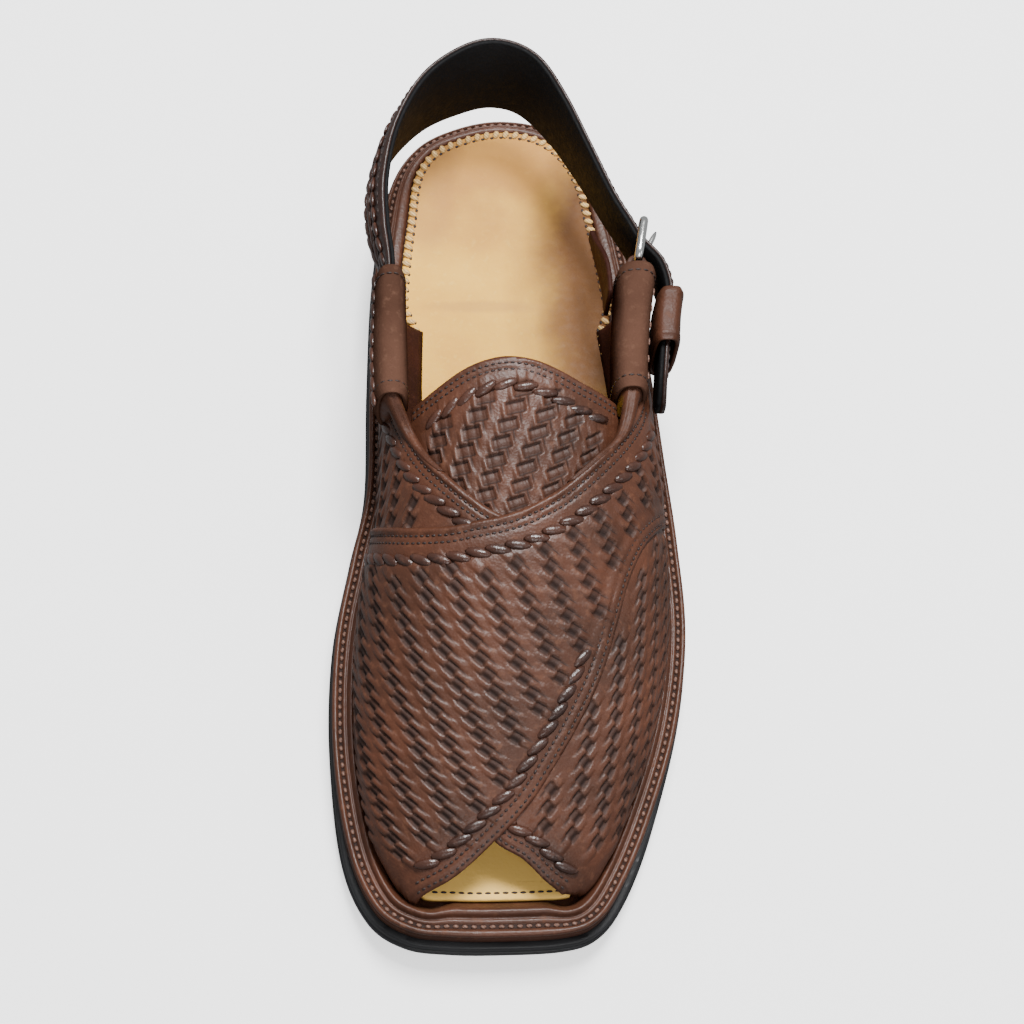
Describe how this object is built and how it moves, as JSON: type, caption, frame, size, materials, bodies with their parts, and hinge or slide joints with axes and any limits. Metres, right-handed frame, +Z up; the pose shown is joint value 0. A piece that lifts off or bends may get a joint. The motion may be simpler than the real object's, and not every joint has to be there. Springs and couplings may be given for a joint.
{
  "type": "peshawari chappal",
  "caption": "Left-foot open-toe sandal with crossed woven vamp panels, woven tongue, buckled back strap and a low-heeled stitched sole.",
  "frame": {"origin": "on the floor, under the middle of the shoe's bounding box", "axes": "-Y towards the toe, +Y towards the heel, +X towards the outer (buckle) side of this left shoe, +Z up"},
  "size_m": [0.1138, 0.2906, 0.0719],
  "materials": {
    "black_rubber": "matt black moulded rubber",
    "brown_leather": "smooth red-brown leather, soft sheen",
    "woven_leather": "red-brown leather strips, woven, soft sheen",
    "tan_leather": "natural tan lining leather, satin",
    "strap_leather": "dark brown leather with a near-black inner face",
    "silver_metal": "polished silver-coloured metal"
  },
  "bodies": {
    "root": {"outsole": "black_rubber", "heel": "black_rubber", "midsole": "brown_leather", "welt": "brown_leather", "insole": "tan_leather", "upper": "woven_leather", "tongue": "woven_leather", "back_strap": "strap_leather", "keeper": "brown_leather", "buckle_frame": "silver_metal", "buckle_prong": "silver_metal", "buckle_tab": "brown_leather", "buckle_guard": "brown_leather"}
  },
  "joints": []
}
